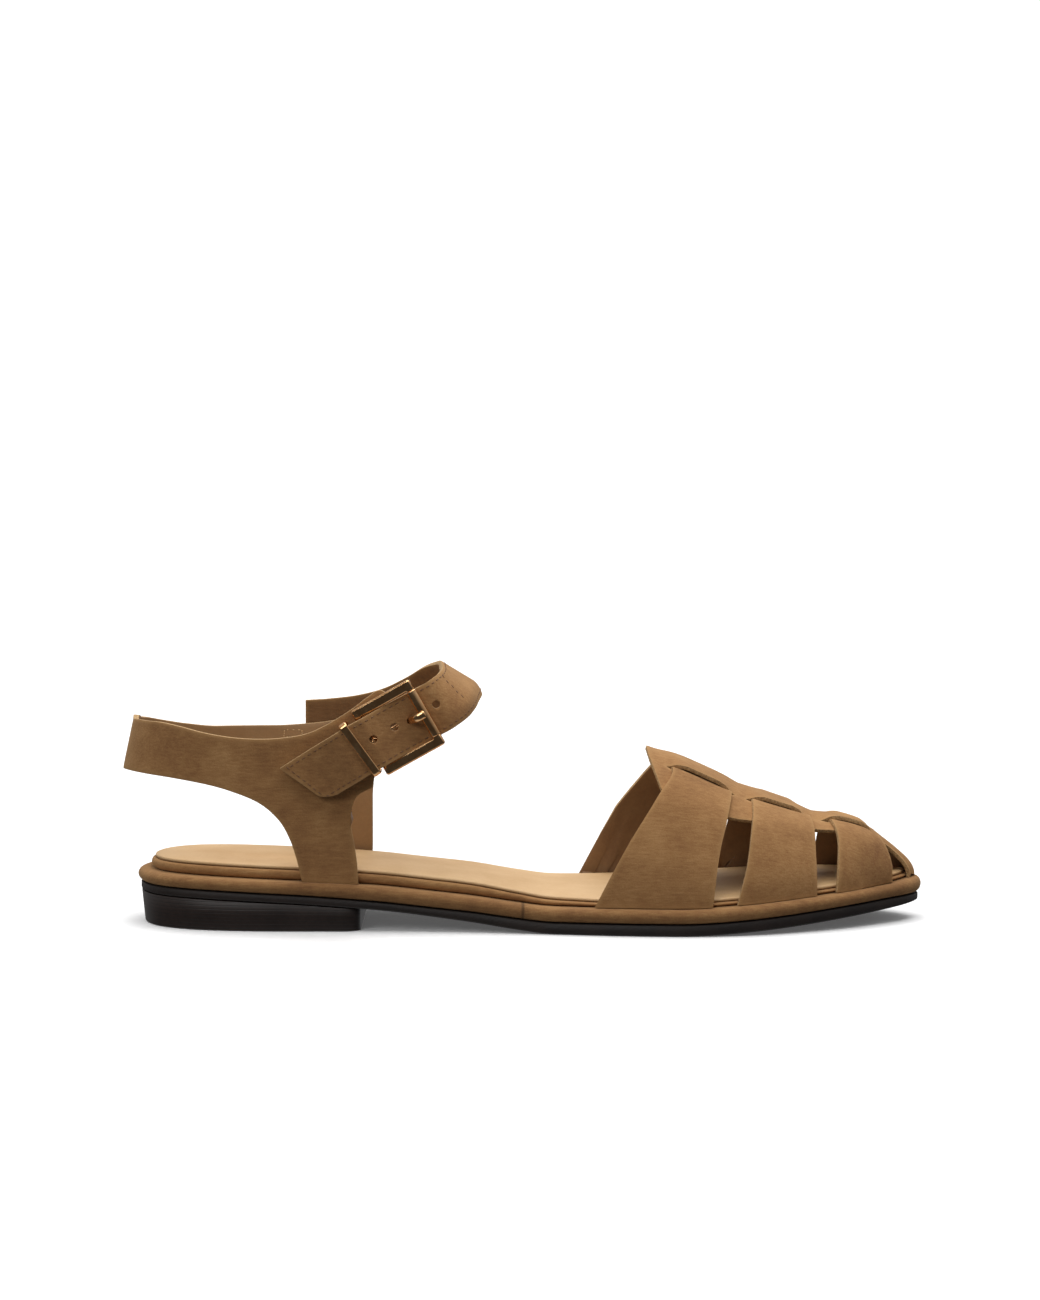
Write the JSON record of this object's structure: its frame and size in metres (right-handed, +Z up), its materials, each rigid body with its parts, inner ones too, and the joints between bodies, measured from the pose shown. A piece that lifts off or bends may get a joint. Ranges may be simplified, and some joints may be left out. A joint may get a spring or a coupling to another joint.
{
  "type": "fisherman sandal",
  "caption": "Flat suede fisherman sandal with a woven strap vamp, a heel strap on side posts, an ankle strap with a roller buckle, and a low stacked heel.",
  "frame": {"origin": "middle of the sandal's bounding box in plan, on the plane it stands on", "axes": "+X from heel to toe, +Y to the medial (inner) side of the foot, +Z up"},
  "size_m": [0.2668, 0.0804, 0.0866],
  "materials": {
    "heel": "dark brown stacked look, satin",
    "outsole": "dark brown, matt",
    "rand": "tan suede, wrapped round the edge",
    "footbed": "tan suede, wrapped round the edge",
    "insole_sock": "light beige smooth lining leather",
    "vamp": "tan suede, beige lining",
    "quarter": "tan suede, beige lining",
    "ankle_strap": "tan suede, beige lining",
    "buckle_chape": "tan suede",
    "buckle_frame": "pale gold, polished",
    "buckle_roller": "pale gold, polished",
    "buckle_prong": "pale gold, polished",
    "keeper_loop": "pale gold, polished"
  },
  "bodies": {
    "root": {"heel": "heel", "outsole": "outsole", "rand": "rand", "footbed": "footbed", "insole_sock": "insole_sock", "vamp": "vamp", "quarter": "quarter", "ankle_strap": "ankle_strap", "buckle_chape": "buckle_chape", "buckle_frame": "buckle_frame", "buckle_roller": "buckle_roller", "buckle_prong": "buckle_prong", "keeper_loop": "keeper_loop"}
  },
  "joints": []
}
